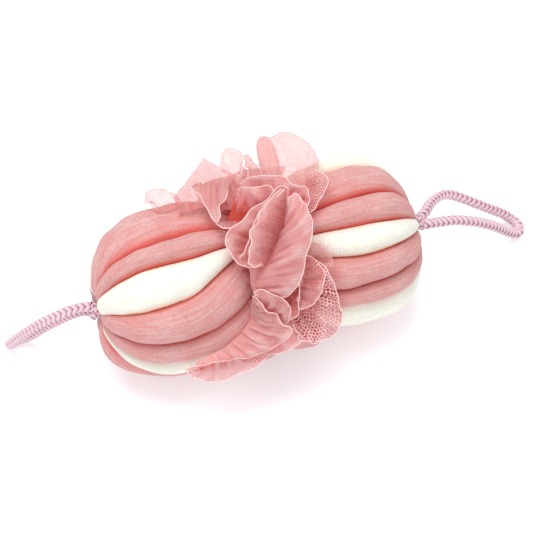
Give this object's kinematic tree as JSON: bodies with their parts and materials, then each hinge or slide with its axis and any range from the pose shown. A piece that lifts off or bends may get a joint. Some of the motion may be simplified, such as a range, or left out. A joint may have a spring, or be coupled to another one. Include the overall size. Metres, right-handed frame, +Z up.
{
  "type": "loofah back scrubber",
  "caption": "Two melon-shaped balls of stuffed knitted sleeves joined at a ruffled net waist, with a braided hand loop at each end for pulling across the back.",
  "frame": {"origin": "middle of the box round the scrubber without its cord loops, on the plane it rests on", "axes": "+X along the long axis from the left ball to the right ball, +Y away from the side seen first, +Z up from the resting plane"},
  "size_m": [0.3892, 0.164, 0.141],
  "materials": {
    "pink_knit": "fine ribbed nylon knit, matte with a soft sheen",
    "cream_knit": "fine ribbed nylon knit, matte with a soft sheen",
    "pink_net": "sheer gathered nylon net, soft sheen on its folded edges",
    "braided_cord": "round braided yarn, matte",
    "binding_thread": "wound thread, matte",
    "foam": "open-cell foam, matte"
  },
  "bodies": {
    "ruffle": {"ruffle_tie": "binding_thread", "ruffle_left_tier": "pink_net", "ruffle_middle_tier": "pink_net", "ruffle_right_tier": "pink_net"},
    "waist": {"waist_binding": "binding_thread", "waist_cord": "braided_cord"},
    "left_neck": {"left_neck": "pink_knit"},
    "right_neck": {"right_neck": "pink_knit"},
    "left_ball": {"left_sleeve_01": "pink_knit", "left_sleeve_02": "cream_knit", "left_sleeve_03": "pink_knit", "left_sleeve_04": "pink_knit", "left_sleeve_05": "cream_knit", "left_sleeve_06": "pink_knit", "left_sleeve_07": "pink_knit", "left_sleeve_08": "cream_knit", "left_sleeve_09": "pink_knit", "left_sleeve_10": "pink_knit", "left_sleeve_11": "cream_knit", "left_sleeve_12": "pink_knit", "left_foam_strips": "foam", "left_core_cord": "braided_cord", "left_pole_binding": "binding_thread"},
    "right_ball": {"right_sleeve_01": "pink_knit", "right_sleeve_02": "cream_knit", "right_sleeve_03": "pink_knit", "right_sleeve_04": "pink_knit", "right_sleeve_05": "cream_knit", "right_sleeve_06": "pink_knit", "right_sleeve_07": "pink_knit", "right_sleeve_08": "cream_knit", "right_sleeve_09": "pink_knit", "right_sleeve_10": "pink_knit", "right_sleeve_11": "cream_knit", "right_sleeve_12": "pink_knit", "right_foam_strips": "foam", "right_core_cord": "braided_cord", "right_pole_binding": "binding_thread"},
    "left_knot": {"left_end_knot": "braided_cord"},
    "right_knot": {"right_end_knot": "braided_cord"},
    "left_loop": {"left_loop": "braided_cord"},
    "right_loop": {"right_loop": "braided_cord"}
  },
  "joints": [
    {"name": "waist_twist", "type": "hinge", "parent": "ruffle", "child": "waist", "pos_m": [0, 0, 0.059], "axis": [1, 0, 0], "range_deg": [-25, 25], "stiffness_Nm_per_rad": 0.4},
    {"name": "left_bend_up", "type": "hinge", "parent": "waist", "child": "left_neck", "pos_m": [0, 0, 0.059], "axis": [0, 1, 0], "range_deg": [-11, 11], "stiffness_Nm_per_rad": 0.4},
    {"name": "right_bend_up", "type": "hinge", "parent": "ruffle", "child": "right_neck", "pos_m": [0, 0, 0.059], "axis": [0, 1, 0], "range_deg": [-11, 11], "stiffness_Nm_per_rad": 0.4},
    {"name": "left_bend_side", "type": "hinge", "parent": "left_neck", "child": "left_ball", "pos_m": [0, 0, 0.059], "axis": [0, 0, 1], "range_deg": [-11, 11], "stiffness_Nm_per_rad": 0.4},
    {"name": "right_bend_side", "type": "hinge", "parent": "right_neck", "child": "right_ball", "pos_m": [0, 0, 0.059], "axis": [0, 0, 1], "range_deg": [-11, 11], "stiffness_Nm_per_rad": 0.4},
    {"name": "left_loop_swing", "type": "hinge", "parent": "left_ball", "child": "left_knot", "pos_m": [-0.117, 0, 0.059], "axis": [0, 0, 1], "range_deg": [-20, 50]},
    {"name": "left_loop_lift", "type": "hinge", "parent": "left_knot", "child": "left_loop", "pos_m": [-0.117, 0, 0.059], "axis": [0, 1, 0], "range_deg": [-15, 50]},
    {"name": "right_loop_swing", "type": "hinge", "parent": "right_ball", "child": "right_knot", "pos_m": [0.117, 0, 0.059], "axis": [0, 0, 1], "range_deg": [-45, 15]},
    {"name": "right_loop_lift", "type": "hinge", "parent": "right_knot", "child": "right_loop", "pos_m": [0.117, 0, 0.059], "axis": [0, -1, 0], "range_deg": [-15, 55]}
  ],
  "couplings": [
    {"joint": "right_bend_up", "follows": "left_bend_up", "ratio": -1},
    {"joint": "right_bend_side", "follows": "left_bend_side", "ratio": -1}
  ]
}
